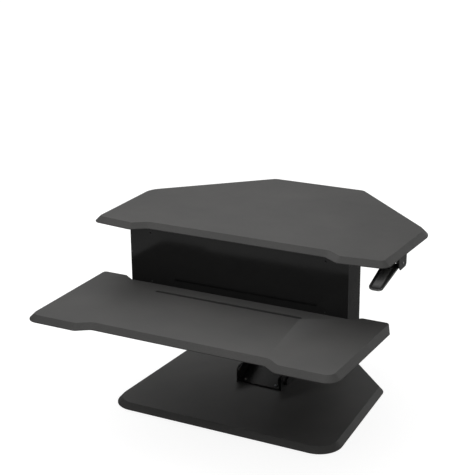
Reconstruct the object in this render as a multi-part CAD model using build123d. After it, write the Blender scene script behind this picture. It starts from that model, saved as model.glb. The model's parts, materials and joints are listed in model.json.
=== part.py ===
from build123d import *
import math
import os

# Standing desk converter on a central two-arm lift, shown fully raised.
# Frame: +X right, +Y back, +Z up, origin on the desk at the middle of the whole footprint.

# Boards
BOARD_T = 16.5
BASE_T = 17.2
LIP = 2.0
BEVEL = 14.8
BASE_BEVEL = 13.7
PAD_T = 2.0
TOP_Z = 530.2
TRAY_Z = 350.0
TOP_UNDER = TOP_Z - BOARD_T
TRAY_UNDER = TRAY_Z - BOARD_T
BASE_TOP = PAD_T + BASE_T
BACK_Y = 467.5
FRONT_Y = -467.5

# Riser between tray and top board
RISER_HALF = 334.0
RISER_FRONT = -113.5
RISER_BACK = -29.5
RISER_FOOT = 313.0
SHEET = 1.5

# Lift: two arms of equal length, meeting at the knee
ARM_LENGTH = 400.0
ARM_ANGLE = 22.0
PIVOT_Y = 44.5
PIVOT_Z = 52.0
KNEE_GAP = 40.0
ARM_HALF = 68.0
ARM_SHEET = 2.5
WEB_V = 24.5
FLANGE_V = 14.0
ARM_NOSE = 21.0
ARM_TAIL = 16.0
PIN_R = 6.0
RUNNING = 0.05

# Plates and links outside the arms, as distances from the middle
PLATE_IN = 69.5
PLATE_T = 3.5
PLATE_OUT = PLATE_IN + PLATE_T
LINK_IN = 75.0
LINK_T = 4.0
LINK_OUT = LINK_IN + LINK_T
LINK_HALF = 7.0
STUD_R = 4.0
LOWER_LINK_OFFSET = (12.0, -16.0)
UPPER_LINK_OFFSET = (12.0, 16.0)

# Gear sectors at the knee
GEAR_TEETH = 20
GEAR_MODULE = 2.0
PRESSURE_ANGLE = 20.0
GEAR_IN = 59.5
GEAR_OUT = ARM_HALF - ARM_SHEET
BACKLASH = 0.25

# Gas springs above the upper arm
SPRING_X = 26.0
SPRING_HEAD = (0.0, 60.0)
SPRING_FOOT = (300.0, 40.0)
SPRING_PIN_R = 4.0
ROD_R = 5.0
TUBE_R = 11.0

# Release lever under the right wing
LEVER_X0 = 397.5
LEVER_X1 = 438.5
LEVER_PIVOT_Y = -6.0
LEVER_PIVOT_Z = 490.0
LEVER_DROP = 10.0
LEVER_REACH = 148.0
LEVER_T = 5.0
LEVER_ROOT = 40.0
LEVER_FLARE = 5.0
LEVER_BRACKET_BACK = 23.0

# Release cable, from the lever's bracket to the release head, as the places it passes
CABLE_R = 2.5
CABLE_EXIT = (LEVER_X0 - 5.5, 10.0, 503.0)
CABLE_POINTS = [CABLE_EXIT, (358.0, 11.0, 505.0), (306.0, 6.0, 507.0), (250.0, 3.0, 506.5),
                (196.0, -2.0, 506.5), (146.0, -4.0, 505.0), (104.0, -14.0, 500.0),
                (66.0, -24.0, 495.0), (34.0, -16.0, 487.0), (16.0, 10.0, 477.0), (13.0, 32.0, 467.0)]
CABLE_HOLE = (-22.0, 496.0)

# Pressed channels under the boards, and the beams inside the riser
PRESSED = 2.0
RAIL_X = 180.0
RAIL_HALF = 20.0
RAIL_FRONT = 25.0
RAIL_BACK = 385.0
RAIL_DEPTH = 20.0
SUPPORT_X = 230.0
SUPPORT_HALF = 18.0
SUPPORT_FRONT = -385.0
BEAM_DEPTH = 30.0
RISER_LIP = 24.0

# Fasteners, as (x, y) places, with their hole sizes
TOUCH = 0.1
PILOT_R = 2.05
CLEAR_R = 2.4
CARRIAGE_SCREWS = [(s * 86.0, y) for s in (-1, 1) for y in (-85.0, 45.0)]
RAIL_SCREWS = [(s * RAIL_X, y) for s in (-1, 1) for y in (RAIL_FRONT + 15, 205.0, RAIL_BACK - 15)]
SUPPORT_SCREWS = [(s * SUPPORT_X, y) for s in (-1, 1) for y in (SUPPORT_FRONT + 20, -250.0, -135.0)]
BASE_SCREWS = [(s * x, y) for s in (-1, 1) for x in (32.0, 56.0) for y in (95.0, 175.0)]
LEVER_SCREWS = [(x, 16.0) for x in (408.5, 427.5)]
FOOT_SCREWS = [(s * 34.0, y) for s in (-1, 1) for y in (288.0, 312.0)]
ARM_RIVETS = [(s * 50.0, y) for y in (-11.0, 350.0) for s in (-1, 1)]
RIVET_R = 3.3
BOLT_R = 3.0
BOLT_Y = -75.0
BOLT_Z = (410.0, 460.0)
PANEL_SCREW_X = 268.0
PANEL_SCREW_Z = (354.2, 500.0)
PANEL_HEAD_R = 3.2
PANEL_SHANK_R = 1.95

angle = math.radians(ARM_ANGLE)
run = ARM_LENGTH * math.cos(angle)
rise = ARM_LENGTH * math.sin(angle)
LOW_PIVOT = (PIVOT_Y, PIVOT_Z)
KNEE_LOW = (PIVOT_Y + run, PIVOT_Z + rise)
KNEE_HIGH = (KNEE_LOW[0], KNEE_LOW[1] + KNEE_GAP)
HIGH_PIVOT = (PIVOT_Y, KNEE_HIGH[1] + rise)


def save(name, *shapes):
    solids = [solid for shape in shapes for solid in shape.solids()]
    shape = solids[0] if len(solids) == 1 else Compound(children=solids)
    export_step(shape, f"parts/{name}.step")


def shifted(point, offset):
    return (point[0] + offset[0], point[1] + offset[1])


def rod_x(point, radius, x0, x1):
    """A round bar along X through a (y, z) point."""
    return extrude(Plane.YZ.offset(x0) * Pos(*point) * Circle(radius), x1 - x0)


def plate_x(points, x0, x1):
    """A flat plate square to X, from its (y, z) corners."""
    return extrude(Plane.YZ.offset(x0) * make_face(Polyline(*points, close=True)), x1 - x0)


def bar_x(start, end, half, x0, x1):
    """A round-ended bar square to X between two (y, z) points."""
    dy = end[0] - start[0]
    dz = end[1] - start[1]
    middle = Pos((start[0] + end[0]) / 2, (start[1] + end[1]) / 2)
    turn = Rot(0, 0, math.degrees(math.atan2(dz, dy)))
    slot = SlotCenterToCenter(math.hypot(dy, dz), 2 * half)
    return extrude(Plane.YZ.offset(x0) * middle * turn * slot, x1 - x0)


def block(x0, x1, y0, y1, z0, z1):
    middle = Pos((x0 + x1) / 2, (y0 + y1) / 2, (z0 + z1) / 2)
    return middle * Box(x1 - x0, y1 - y0, z1 - z0)


def on_lower_arm(shape):
    """Puts a shape made along the arm, with its pivot at the origin, in place."""
    return Pos(0, *LOW_PIVOT) * Rot(ARM_ANGLE, 0, 0) * shape


def on_upper_arm(shape):
    return Pos(0, *HIGH_PIVOT) * Rot(-ARM_ANGLE, 0, 0) * shape


def upper_arm_point(along, above):
    """The (y, z) place of a point on the upper arm."""
    y = HIGH_PIVOT[0] + along * math.cos(angle) + above * math.sin(angle)
    z = HIGH_PIVOT[1] - along * math.sin(angle) + above * math.cos(angle)
    return (y, z)


def screws(places, z, head_up, length=12.0, shank=2.0):
    """Pan-head screws along Z, each head's flat face at z."""
    made = []
    for x, y in places:
        sign = 1 if head_up else -1
        head = Pos(x, y, z + sign * 1.3) * Cylinder(4.2, 2.6)
        head = fillet(head.edges().filter_by(GeomType.CIRCLE).sort_by(Axis.Z)[-1 if head_up else 0], 1.2)
        made.append(head + Pos(x, y, z - sign * length / 2) * Cylinder(shank, length))
    return made


def holes(places, z0, z1, radius):
    return [Pos(x, y, (z0 + z1) / 2) * Cylinder(radius, z1 - z0) for x, y in places]


def cut(shape, tools):
    for tool in tools:
        shape = shape - tool
    return shape


def both_sides(half):
    """Closes a list of (x, y, radius) corners, given from the front middle to the back middle."""
    left = [(-x, y, r) for x, y, r in reversed(half)]
    return half + left


def outline(corners):
    points = [(x, y) for x, y, r in corners]
    radii = [r for x, y, r in corners]
    return make_face(FilletPolyline(*points, radius=radii, close=True))


def board(corners, under, thickness, bevel):
    """A board with a thin square lip under a wide sloping edge."""
    face = Pos(0, 0, under) * outline(corners)
    lip = extrude(face, LIP)
    slope = math.degrees(math.atan2(bevel, thickness - LIP))
    top = extrude(Pos(0, 0, LIP) * face, thickness - LIP, taper=slope)
    return lip + top


def make_boards():
    top_corners = both_sides([
        (270.0, -121.8, 22), (313.0, -150.5, 24), (445.9, -134.9, 27),
        (457.2, 177.8, 75), (155.9, BACK_Y, 38)])
    top = board(top_corners, TOP_UNDER, BOARD_T, BEVEL)
    top_holes = CARRIAGE_SCREWS + RAIL_SCREWS + LEVER_SCREWS
    top = cut(top, holes(top_holes, TOP_UNDER - 1, TOP_UNDER + 12, PILOT_R))
    save("top_board", top)

    tray_corners = both_sides([
        (252.0, -442.5, 22), (288.0, FRONT_Y, 24), (448.0, FRONT_Y, 38), (458.0, -76.5, 24)])
    tray = board(tray_corners, TRAY_UNDER, BOARD_T, BEVEL)
    # The rear corners are trimmed square, across the sloping edge.
    for s in (-1, 1):
        corner = [(s * 428.0, -66.0), (s * 466.0, -66.0), (s * 466.0, -144.0)]
        tray = tray - extrude(Pos(0, 0, TRAY_UNDER - 1) * make_face(Polyline(*corner, close=True)), 30)
    notch = [(-336.0, RISER_FRONT - 0.3), (336.0, RISER_FRONT - 0.3), (341.0, -109.5), (362.0, -95.5),
             (392.0, -70.0), (-392.0, -70.0), (-362.0, -95.5), (-341.0, -109.5)]
    tray = tray - extrude(Pos(0, 0, TRAY_UNDER - 1) * make_face(Polyline(*notch, close=True)), 30)
    groove = Pos(0, -163.5, TRAY_Z - 8.5) * SlotOverall(448.0, 12.0)
    tray = tray - extrude(groove, 20)
    tray = cut(tray, holes(SUPPORT_SCREWS, TRAY_UNDER - 1, TRAY_UNDER + 12, PILOT_R))
    save("keyboard_tray", tray)

    base_corners = both_sides([
        (352.0, -237.5, 68), (332.7, 193.2, 34), (144.0, 390.5, 30)])
    base = board(base_corners, PAD_T, BASE_T, BASE_BEVEL)
    base = cut(base, holes(BASE_SCREWS, BASE_TOP - 12, BASE_TOP + 1, PILOT_R))
    save("base_board", base)

    pads = []
    for x, y in [(s * 250.0, y) for s in (-1, 1) for y in (-190.0, 190.0)]:
        pads.append(extrude(Pos(x, y, 0) * RectangleRounded(90, 30, 12), PAD_T))
    for y in (-200.0, 340.0):
        pads.append(extrude(Pos(0, y, 0) * RectangleRounded(90, 30, 12), PAD_T))
    save("base_pads", *pads)


def make_base_bracket():
    ear = [(30.5, BASE_TOP + TOUCH), (205.0, BASE_TOP + TOUCH), (205.0, 34.0), (120.0, 52.0),
           (72.0, 70.0), (44.5, 70.0), (30.5, 62.0)]
    stud_at = shifted(LOW_PIVOT, LOWER_LINK_OFFSET)
    for side, s in (("left", -1), ("right", 1)):
        x0, x1 = sorted((s * PLATE_IN, s * PLATE_OUT))
        plate = plate_x(ear, x0, x1)
        f0, f1 = sorted((s * 20.0, s * PLATE_IN))
        foot = block(f0, f1, 75.0, 205.0, BASE_TOP + TOUCH, BASE_TOP + 2.6)
        bracket = plate + foot
        bracket = bracket - rod_x(LOW_PIVOT, PIN_R + RUNNING, -90, 90)
        bracket = bracket - rod_x(stud_at, STUD_R + RUNNING, -90, 90)
        own = [p for p in BASE_SCREWS if p[0] * s > 0]
        bracket = cut(bracket, holes(own, BASE_TOP - 1, BASE_TOP + 4, CLEAR_R))
        save(f"base_bracket_{side}", bracket)
    save("base_bracket_screws", *screws(BASE_SCREWS, BASE_TOP + 2.65, True, 13.0))


def cross_pin(point, reach=PLATE_OUT + 0.6):
    """A pivot pin across both plates, with a domed head at each end."""
    pin = rod_x(point, PIN_R, -reach, reach)
    for s in (-1, 1):
        x0, x1 = sorted((s * (PLATE_OUT + TOUCH), s * (PLATE_OUT + 1.7)))
        pin = pin + rod_x(point, PIN_R + 3, x0, x1)
    return pin


def stepped_x(point, s, spans):
    """Round lengths along X joined into one piece, each (inner end, outer end, radius) on side s."""
    made = None
    for a, b, radius in spans:
        x0, x1 = sorted((s * a, s * b))
        length = rod_x(point, radius, x0, x1)
        made = length if made is None else made + length
    return made


def side_pin(point, s):
    """A short pivot pin through one plate and one bush, headed outside and peened inside."""
    spans = [(GEAR_OUT - 1.5, PLATE_OUT + 0.6, PIN_R), (PLATE_OUT + TOUCH, PLATE_OUT + 1.7, PIN_R + 3),
             (GEAR_OUT - 1.5, GEAR_OUT - TOUCH, PIN_R + 1.5)]
    return stepped_x(point, s, spans)


def link_stud(point, s):
    """A shouldered stud that carries one end of a parallel link, with a flat head outside it."""
    spans = [(PLATE_IN + TOUCH, LINK_OUT + 0.4, STUD_R), (PLATE_OUT + TOUCH, LINK_IN - 0.3, 7.0),
             (LINK_OUT + 0.3, LINK_OUT + 2.8, 6.5)]
    return stepped_x(point, s, spans)


def make_pins_and_studs():
    save("lower_pivot_pins", *[side_pin(LOW_PIVOT, s) for s in (-1, 1)])
    save("lower_knee_pin", cross_pin(KNEE_LOW))
    save("upper_knee_pin", cross_pin(KNEE_HIGH))
    save("carriage_pivot_pin", cross_pin(HIGH_PIVOT))
    groups = {
        "base_link_studs": [shifted(LOW_PIVOT, LOWER_LINK_OFFSET)],
        "knee_link_studs": [shifted(KNEE_LOW, LOWER_LINK_OFFSET), shifted(KNEE_HIGH, UPPER_LINK_OFFSET)],
        "carriage_link_studs": [shifted(HIGH_PIVOT, UPPER_LINK_OFFSET)],
    }
    for name, points in groups.items():
        save(name, *[link_stud(point, s) for point in points for s in (-1, 1)])


def make_links():
    ends = {
        "lower": (shifted(LOW_PIVOT, LOWER_LINK_OFFSET), shifted(KNEE_LOW, LOWER_LINK_OFFSET)),
        "upper": (shifted(HIGH_PIVOT, UPPER_LINK_OFFSET), shifted(KNEE_HIGH, UPPER_LINK_OFFSET)),
    }
    for name, (start, end) in ends.items():
        pair = []
        for s in (-1, 1):
            x0, x1 = sorted((s * LINK_IN, s * LINK_OUT))
            link = bar_x(start, end, LINK_HALF, x0, x1)
            for point in (start, end):
                link = link - rod_x(point, STUD_R + RUNNING, -90, 90)
            pair.append(link)
        save(f"{name}_links", *pair)


def channel(web_v, flange_v):
    """The arm's channel along Y, its pivots on Z = 0, its web on one side."""
    length = ARM_LENGTH + ARM_NOSE + ARM_TAIL
    middle = (ARM_LENGTH + ARM_TAIL - ARM_NOSE) / 2
    low, high = sorted((web_v, flange_v))
    outer = Pos(0, middle, (low + high) / 2) * Box(2 * ARM_HALF, length, high - low)
    inner_web = web_v - math.copysign(ARM_SHEET, web_v)
    low, high = sorted((inner_web, flange_v + math.copysign(1, flange_v)))
    inner = Pos(0, middle, (low + high) / 2) * Box(2 * GEAR_OUT, length + 2, high - low)
    corners = outer.edges().filter_by(Axis.X).group_by(Axis.Z)[0 if web_v > 0 else -1]
    arm = fillet(corners, 10) - inner
    for along in (0.0, ARM_LENGTH):
        arm = arm - rod_x((along, 0), 8.0 + RUNNING / 2, -90, 90)
    return arm


def rivets(web_v):
    """Domed rivets through the web, heads on its inner face."""
    face = web_v - math.copysign(ARM_SHEET, web_v)
    away = -math.copysign(1, web_v)
    made = []
    for x, y in ARM_RIVETS:
        dome = Pos(x, y, face + away * RUNNING) * Sphere(RIVET_R)
        keep = Pos(x, y, face + away * 3.05) * Box(9, 9, 6.0)
        shank = Pos(x, y, face - away * 1.2) * Cylinder(1.9, 2.5)
        made.append((dome & keep) + shank)
    return made


def rivet_holes(web_v):
    return [Pos(x, y, web_v) * Cylinder(1.95, 8) for x, y in ARM_RIVETS]


def bushes():
    """Flanged plain bushes for the arm's four pivot holes. Those at the knee carry the gears too."""
    made = []
    for along, inner in ((0.0, GEAR_OUT), (ARM_LENGTH, GEAR_IN)):
        for s in (-1, 1):
            body = sorted((s * inner, s * (PLATE_IN - 0.3)))
            flange = sorted((s * (ARM_HALF + 0.05), s * (PLATE_IN - 0.3)))
            bush = rod_x((along, 0), 8.0, *body) + rod_x((along, 0), 11.0, *flange)
            made.append(bush - rod_x((along, 0), PIN_R + RUNNING, -90, 90))
    return made


def tooth(centre, pivot):
    """One involute tooth of a sector, as (y, z) points about its pivot."""
    pitch = GEAR_MODULE * GEAR_TEETH / 2
    base = pitch * math.cos(math.radians(PRESSURE_ANGLE))
    tip = pitch + 0.85 * GEAR_MODULE
    root = pitch - 1.25 * GEAR_MODULE
    start = math.acos(base / pitch)
    half = math.pi / (2 * GEAR_TEETH) - BACKLASH / (2 * pitch)

    def flank(radius):
        roll = math.acos(min(1.0, base / radius))
        return half + (math.tan(start) - start) - (math.tan(roll) - roll)

    radii = [root - 0.5] + [base + (tip - base) * step / 6 for step in range(7)]
    side = [(radius, flank(radius)) for radius in radii]
    points = [(radius, turn) for radius, turn in side]
    points += [(radius, -turn) for radius, turn in reversed(side)]
    placed = []
    for radius, turn in points:
        heading = math.radians(centre) + turn
        placed.append((pivot[0] + radius * math.cos(heading), pivot[1] + radius * math.sin(heading)))
    return placed


def gear_sector(pivot, arm_heading, centres):
    """Toothed sector about a knee pivot, with a tail riveted along its arm."""
    hub_r = GEAR_MODULE * GEAR_TEETH / 2 - 1.25 * GEAR_MODULE
    tail = (pivot[0] + 44 * math.cos(math.radians(arm_heading)),
            pivot[1] + 44 * math.sin(math.radians(arm_heading)))
    sectors = []
    for s in (-1, 1):
        x0, x1 = sorted((s * GEAR_IN, s * GEAR_OUT))
        sector = bar_x(pivot, tail, 10.0, x0, x1) + rod_x(pivot, hub_r, x0, x1)
        for centre in centres:
            sector = sector + plate_x(tooth(centre, pivot), x0, x1)
        sectors.append(sector - rod_x(pivot, 8.0 + RUNNING / 2, -90, 90))
    return sectors


def make_arms():
    lower = cut(channel(-WEB_V, FLANGE_V), rivet_holes(-WEB_V))
    upper = cut(channel(WEB_V, -FLANGE_V), rivet_holes(WEB_V))
    upper = cut(upper, [Pos(x, y, WEB_V) * Cylinder(2.4, 8) for x, y in FOOT_SCREWS])
    save("lower_arm", on_lower_arm(lower))
    save("upper_arm", on_upper_arm(upper))
    save("lower_arm_rivets", *[on_lower_arm(rivet) for rivet in rivets(-WEB_V)])
    save("upper_arm_rivets", *[on_upper_arm(rivet) for rivet in rivets(WEB_V)])
    save("lower_arm_bushes", *[on_lower_arm(bush) for bush in bushes()])
    save("upper_arm_bushes", *[on_upper_arm(bush) for bush in bushes()])
    pitch = 360 / GEAR_TEETH
    lower_teeth = [90 + pitch * k for k in (-1, 0, 1, 2)]
    upper_teeth = [-90 - pitch * (k + 0.5) for k in (-1, 0, 1, 2)]
    save("lower_gear_sectors", *gear_sector(KNEE_LOW, 180 + ARM_ANGLE, lower_teeth))
    save("upper_gear_sectors", *gear_sector(KNEE_HIGH, 180 - ARM_ANGLE, upper_teeth))


def make_knee():
    low_stud = shifted(KNEE_LOW, LOWER_LINK_OFFSET)
    high_stud = shifted(KNEE_HIGH, UPPER_LINK_OFFSET)
    for side, s in (("left", -1), ("right", 1)):
        x0, x1 = sorted((s * PLATE_IN, s * PLATE_OUT))
        plate = bar_x(KNEE_LOW, KNEE_HIGH, 18.0, x0, x1)
        plate = plate + bar_x(low_stud, high_stud, 9.0, x0, x1)
        for pivot in (KNEE_LOW, KNEE_HIGH):
            plate = plate - rod_x(pivot, PIN_R + RUNNING, -90, 90)
        for stud in (low_stud, high_stud):
            plate = plate - rod_x(stud, STUD_R + RUNNING, -90, 90)
        save(f"knee_plate_{side}", plate)


def make_carriage():
    """Two side plates and a front plate that hang the lift's top pivot under the top board."""
    stud_at = shifted(HIGH_PIVOT, UPPER_LINK_OFFSET)
    head_at = shifted(HIGH_PIVOT, SPRING_HEAD)
    profile = [(-109.0, 376.0), (62.0, 376.0), (70.0, 384.0), (70.0, 455.0), (62.0, TOP_UNDER - TOUCH),
               (-109.0, TOP_UNDER - TOUCH)]
    for side, s in (("left", -1), ("right", 1)):
        x0, x1 = sorted((s * PLATE_IN, s * PLATE_OUT))
        plate = plate_x(profile, x0, x1)
        f0, f1 = sorted((s * PLATE_IN, s * 100.0))
        plate = plate + block(f0, f1, -100.0, 60.0, TOP_UNDER - 3.1, TOP_UNDER - TOUCH)
        plate = plate - rod_x(HIGH_PIVOT, PIN_R + RUNNING, -90, 90)
        plate = plate - rod_x(stud_at, STUD_R + RUNNING, -90, 90)
        plate = plate - rod_x(head_at, SPRING_PIN_R + RUNNING, -90, 90)
        plate = plate - rod_x(CABLE_HOLE, 6.0, -90, 90)
        plate = cut(plate, [rod_x((BOLT_Y, z), BOLT_R + 0.1, -90, 90) for z in BOLT_Z])
        own = [p for p in CARRIAGE_SCREWS if p[0] * s > 0]
        plate = cut(plate, holes(own, TOP_UNDER - 5, TOP_UNDER + 1, CLEAR_R))
        save(f"carriage_plate_{side}", plate)
    inner = RISER_FRONT + SHEET
    front = block(-66.0, 66.0, inner + TOUCH, inner + 3.6, 320.0, TOP_UNDER - TOUCH)
    front = front + block(-66.0, -62.0, inner + 3.6, -60.0, 390.0, 480.0)
    front = front + block(62.0, 66.0, inner + 3.6, -60.0, 390.0, 480.0)
    front = cut(front, [rod_x((BOLT_Y, z), BOLT_R + 0.1, -90, 90) for z in BOLT_Z])
    save("carriage_front_plate", front)
    bolts = []
    for z in BOLT_Z:
        for s in (-1, 1):
            shank = sorted((s * 56.0, s * (PLATE_OUT + 0.3)))
            head = sorted((s * (PLATE_OUT + TOUCH), s * (PLATE_OUT + 4.0)))
            bolts.append(rod_x((BOLT_Y, z), BOLT_R, *shank) + rod_x((BOLT_Y, z), 5.5, *head))
    save("carriage_bolts", *bolts)


def make_springs():
    """Two gas springs, rod end up at the carriage and tube end down on the upper arm."""
    head = shifted(HIGH_PIVOT, SPRING_HEAD)
    foot = upper_arm_point(*SPRING_FOOT)
    length = math.hypot(foot[0] - head[0], foot[1] - head[1])
    tilt = math.degrees(math.atan2(foot[1] - head[1], foot[0] - head[0]))

    def along(shape, x):
        return Pos(x, *head) * Rot(tilt, 0, 0) * shape

    def turned(radius, a, b):
        return Pos(0, (a + b) / 2, 0) * Rot(90, 0, 0) * Cylinder(radius, b - a)

    for side, s in (("left", -1), ("right", 1)):
        eye = rod_x((0, 0), 10.0, -6, 6) + turned(6.5, 8, 24)
        rod = turned(ROD_R, 20, 170) + turned(8.8, 158, 170)
        piece = (eye + rod) - rod_x((0, 0), SPRING_PIN_R + RUNNING, -20, 20)
        save(f"gas_spring_rod_{side}", along(piece, s * SPRING_X))
        tube = turned(TUBE_R, 64, length - 22)
        tube = tube - turned(9.0, 74, length - 30) - turned(ROD_R + RUNNING, 60, 80)
        end = turned(6.0, length - 24, length - 6) + rod_x((length, 0), 10.0, -6, 6)
        tube = tube + end - rod_x((length, 0), SPRING_PIN_R + 1.0, -20, 20)
        save(f"gas_spring_cylinder_{side}", along(tube, s * SPRING_X))
    save("spring_head_pin", rod_x(head, SPRING_PIN_R, -(PLATE_OUT + 2), PLATE_OUT + 2))
    save("spring_foot_pin", rod_x(foot, SPRING_PIN_R, -48, 48))
    ears = []
    for s in (-1, 1):
        x0, x1 = sorted((s * 41.0, s * 44.0))
        ear = [(282.0, WEB_V + TOUCH), (318.0, WEB_V + TOUCH), (308.0, 48.0), (292.0, 48.0)]
        f0, f1 = sorted((s * 24.0, s * 44.0))
        foot_plate = block(f0, f1, 278.0, 322.0, WEB_V + TOUCH, WEB_V + 2.6)
        bracket = plate_x(ear, x0, x1) + foot_plate
        bracket = bracket - rod_x(SPRING_FOOT, SPRING_PIN_R + RUNNING, -90, 90)
        own = [p for p in FOOT_SCREWS if p[0] * s > 0]
        bracket = cut(bracket, holes(own, WEB_V - 5, WEB_V + 5, CLEAR_R))
        ears.append(on_upper_arm(bracket))
    save("spring_foot_brackets", *ears)
    made = screws(FOOT_SCREWS, WEB_V + 2.65, True, 7.0)
    save("spring_foot_screws", *[on_upper_arm(screw) for screw in made])


def panel_screw(x, z, head_r, shank_r, depth):
    """A countersunk screw, or its hole, flush with the riser's front panel."""
    cone = Pos(0, 0, -(head_r - shank_r) / 2) * Cone(shank_r, head_r, head_r - shank_r)
    shank = Pos(0, 0, -depth / 2) * Cylinder(shank_r, depth)
    return Pos(x, RISER_FRONT, z) * Rot(90, 0, 0) * (cone + shank)


def make_riser_panel():
    places = [(s * PANEL_SCREW_X, z) for z in PANEL_SCREW_Z for s in (-1, 1)]
    top = TOP_UNDER - TOUCH
    panel = block(-RISER_HALF, RISER_HALF, RISER_FRONT, RISER_FRONT + SHEET, RISER_FOOT, top)
    panel = cut(panel, [panel_screw(x, z, PANEL_HEAD_R + RUNNING, PANEL_SHANK_R + RUNNING, 8.0)
                        for x, z in places])
    save("riser_front_panel", panel)
    save("riser_panel_screws", *[panel_screw(x, z, PANEL_HEAD_R, PANEL_SHANK_R, SHEET) for x, z in places])


def make_riser_sides():
    top = TOP_UNDER - TOUCH
    behind = RISER_FRONT + SHEET + TOUCH
    for side, s in (("left", -1), ("right", 1)):
        x0, x1 = sorted((s * RISER_HALF, s * (RISER_HALF - SHEET)))
        web = block(x0, x1, behind, RISER_BACK, RISER_FOOT, top)
        x0, x1 = sorted((s * RISER_HALF, s * (RISER_HALF - RISER_LIP)))
        flange = block(x0, x1, behind, behind + SHEET, RISER_FOOT, top)
        lip = block(x0, x1, RISER_BACK - SHEET, RISER_BACK, RISER_FOOT, top)
        save(f"riser_side_{side}", web + flange + lip)


def make_riser_beams():
    """A channel along the riser's foot, open for the carriage plate, and two angles along its top."""
    top = TOP_UNDER - TOUCH
    half = RISER_HALF - SHEET - TOUCH
    front = RISER_FRONT + 2 * (SHEET + TOUCH)
    back = RISER_BACK - SHEET - TOUCH
    lower = block(-half, half, front, back, RISER_FOOT, RISER_FOOT + PRESSED)
    for y in (front, back - PRESSED):
        lower = lower + block(-half, half, y, y + PRESSED, RISER_FOOT, RISER_FOOT + BEAM_DEPTH)
    opening = block(-68, 68, front - 1, front + PRESSED + 1, RISER_FOOT - 1, RISER_FOOT + BEAM_DEPTH + 1)
    save("riser_lower_beam", lower - opening)
    uppers = []
    for s in (-1, 1):
        x0, x1 = sorted((s * 101.0, s * half))
        angle_top = block(x0, x1, front, back, top - PRESSED, top)
        uppers.append(angle_top + block(x0, x1, front, front + PRESSED, top - BEAM_DEPTH, top))
    save("riser_upper_beams", *uppers)
    bumpers = []
    for x in (-270.0, -120.0, 120.0, 270.0):
        bumpers.append(Pos(x, (front + back) / 2, RISER_FOOT - 3.85) * Cone(9.0, 11.0, 7.5))
    save("riser_bumpers", *bumpers)


def make_tray_supports():
    """Two pressed channels that carry the tray forward from the riser."""
    face = TRAY_UNDER - TOUCH
    back = RISER_FRONT - TOUCH
    for side, s in (("left", -1), ("right", 1)):
        x0, x1 = s * SUPPORT_X - SUPPORT_HALF, s * SUPPORT_X + SUPPORT_HALF
        top = block(x0, x1, SUPPORT_FRONT, back, face - PRESSED, face)
        heel = block(x0, x1, back - PRESSED, back, RISER_FOOT + 1, face)
        arm = top + heel
        for x in (x0, x1 - PRESSED):
            web = [(SUPPORT_FRONT, face - 6), (SUPPORT_FRONT, face), (back, face), (back, RISER_FOOT + 1)]
            arm = arm + plate_x(web, x, x + PRESSED)
        own = [p for p in SUPPORT_SCREWS if p[0] * s > 0]
        arm = cut(arm, holes(own, TRAY_UNDER - 4, TRAY_UNDER + 1, CLEAR_R))
        save(f"tray_support_{side}", arm)
    save("tray_screws", *screws(SUPPORT_SCREWS, face - PRESSED - RUNNING, False))


def make_top_rails():
    """Two pressed channels that stiffen the top board behind the riser."""
    face = TOP_UNDER - TOUCH
    for side, s in (("left", -1), ("right", 1)):
        x0, x1 = s * RAIL_X - RAIL_HALF, s * RAIL_X + RAIL_HALF
        rail = block(x0, x1, RAIL_FRONT, RAIL_BACK, face - PRESSED, face)
        for x in (x0, x1 - PRESSED):
            rail = rail + block(x, x + PRESSED, RAIL_FRONT, RAIL_BACK, TOP_UNDER - RAIL_DEPTH, face)
        own = [p for p in RAIL_SCREWS if p[0] * s > 0]
        rail = cut(rail, holes(own, TOP_UNDER - 4, TOP_UNDER + 1, CLEAR_R))
        save(f"top_rail_{side}", rail)
    save("top_screws", *screws(RAIL_SCREWS, face - PRESSED - RUNNING, False),
         *screws(CARRIAGE_SCREWS, TOP_UNDER - 3.15, False, 13.0))


def make_lever():
    pivot = (LEVER_PIVOT_Y, LEVER_PIVOT_Z)
    back = LEVER_BRACKET_BACK
    roof = block(LEVER_X0 - 5, LEVER_X1 + 5, -31.0, back, TOP_UNDER - 3.1, TOP_UNDER - TOUCH)
    cheek = [(-35.0, TOP_UNDER - TOUCH), (-35.0, 488.0), (-22.0, 474.0), (back - 6, 474.0), (back, 480.0),
             (back, TOP_UNDER - TOUCH)]
    bracket = roof
    for x in (LEVER_X0 - 5, LEVER_X1 + 2):
        bracket = bracket + plate_x(cheek, x, x + 3)
    bracket = bracket - rod_x(pivot, 3.0 + RUNNING, 380, 460)
    bracket = bracket - rod_x((CABLE_EXIT[1], CABLE_EXIT[2]), 3.0, 390, 400)
    bracket = cut(bracket, holes(LEVER_SCREWS, TOP_UNDER - 5, TOP_UNDER + 1, CLEAR_R))
    save("lever_bracket", bracket)
    save("lever_bracket_screws", *screws(LEVER_SCREWS, TOP_UNDER - 3.15, False))
    save("lever_pin", rod_x(pivot, 3.0, LEVER_X0 - 6.5, LEVER_X1 + 6.5))

    root = -LEVER_ROOT
    blade = outline([(LEVER_X0, 0, 3), (LEVER_X1, 0, 3), (LEVER_X1, -LEVER_REACH, 12),
                     (LEVER_X0 + 3, -LEVER_REACH, 18), (LEVER_X0 - LEVER_FLARE, root, 4),
                     (LEVER_X0, root + 8, 2)])
    blade = extrude(Pos(0, 0, -7.0) * blade, LEVER_T)
    blade = fillet(blade.edges().group_by(Axis.Z)[-1], 1.4)
    hub = rod_x((0, 0), 7.0, LEVER_X0, LEVER_X0 + 12) + rod_x((0, 0), 7.0, LEVER_X1 - 12, LEVER_X1)
    lever = blade + hub - rod_x((0, 0), 3.0 + RUNNING, 380, 460)
    lever = lever - rod_x((0, 0), 6.3, LEVER_X0 + 12, LEVER_X1 - 12)
    save("release_lever", Pos(0, *pivot) * Rot(LEVER_DROP, 0, 0) * lever)
    coils = []
    for k in range(5):
        coils.append(Pos(LEVER_X0 + 14.5 + 2.6 * k, *pivot) * Rot(0, 90, 0) * Torus(4.6, 0.9))
    save("lever_spring", *coils)


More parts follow.
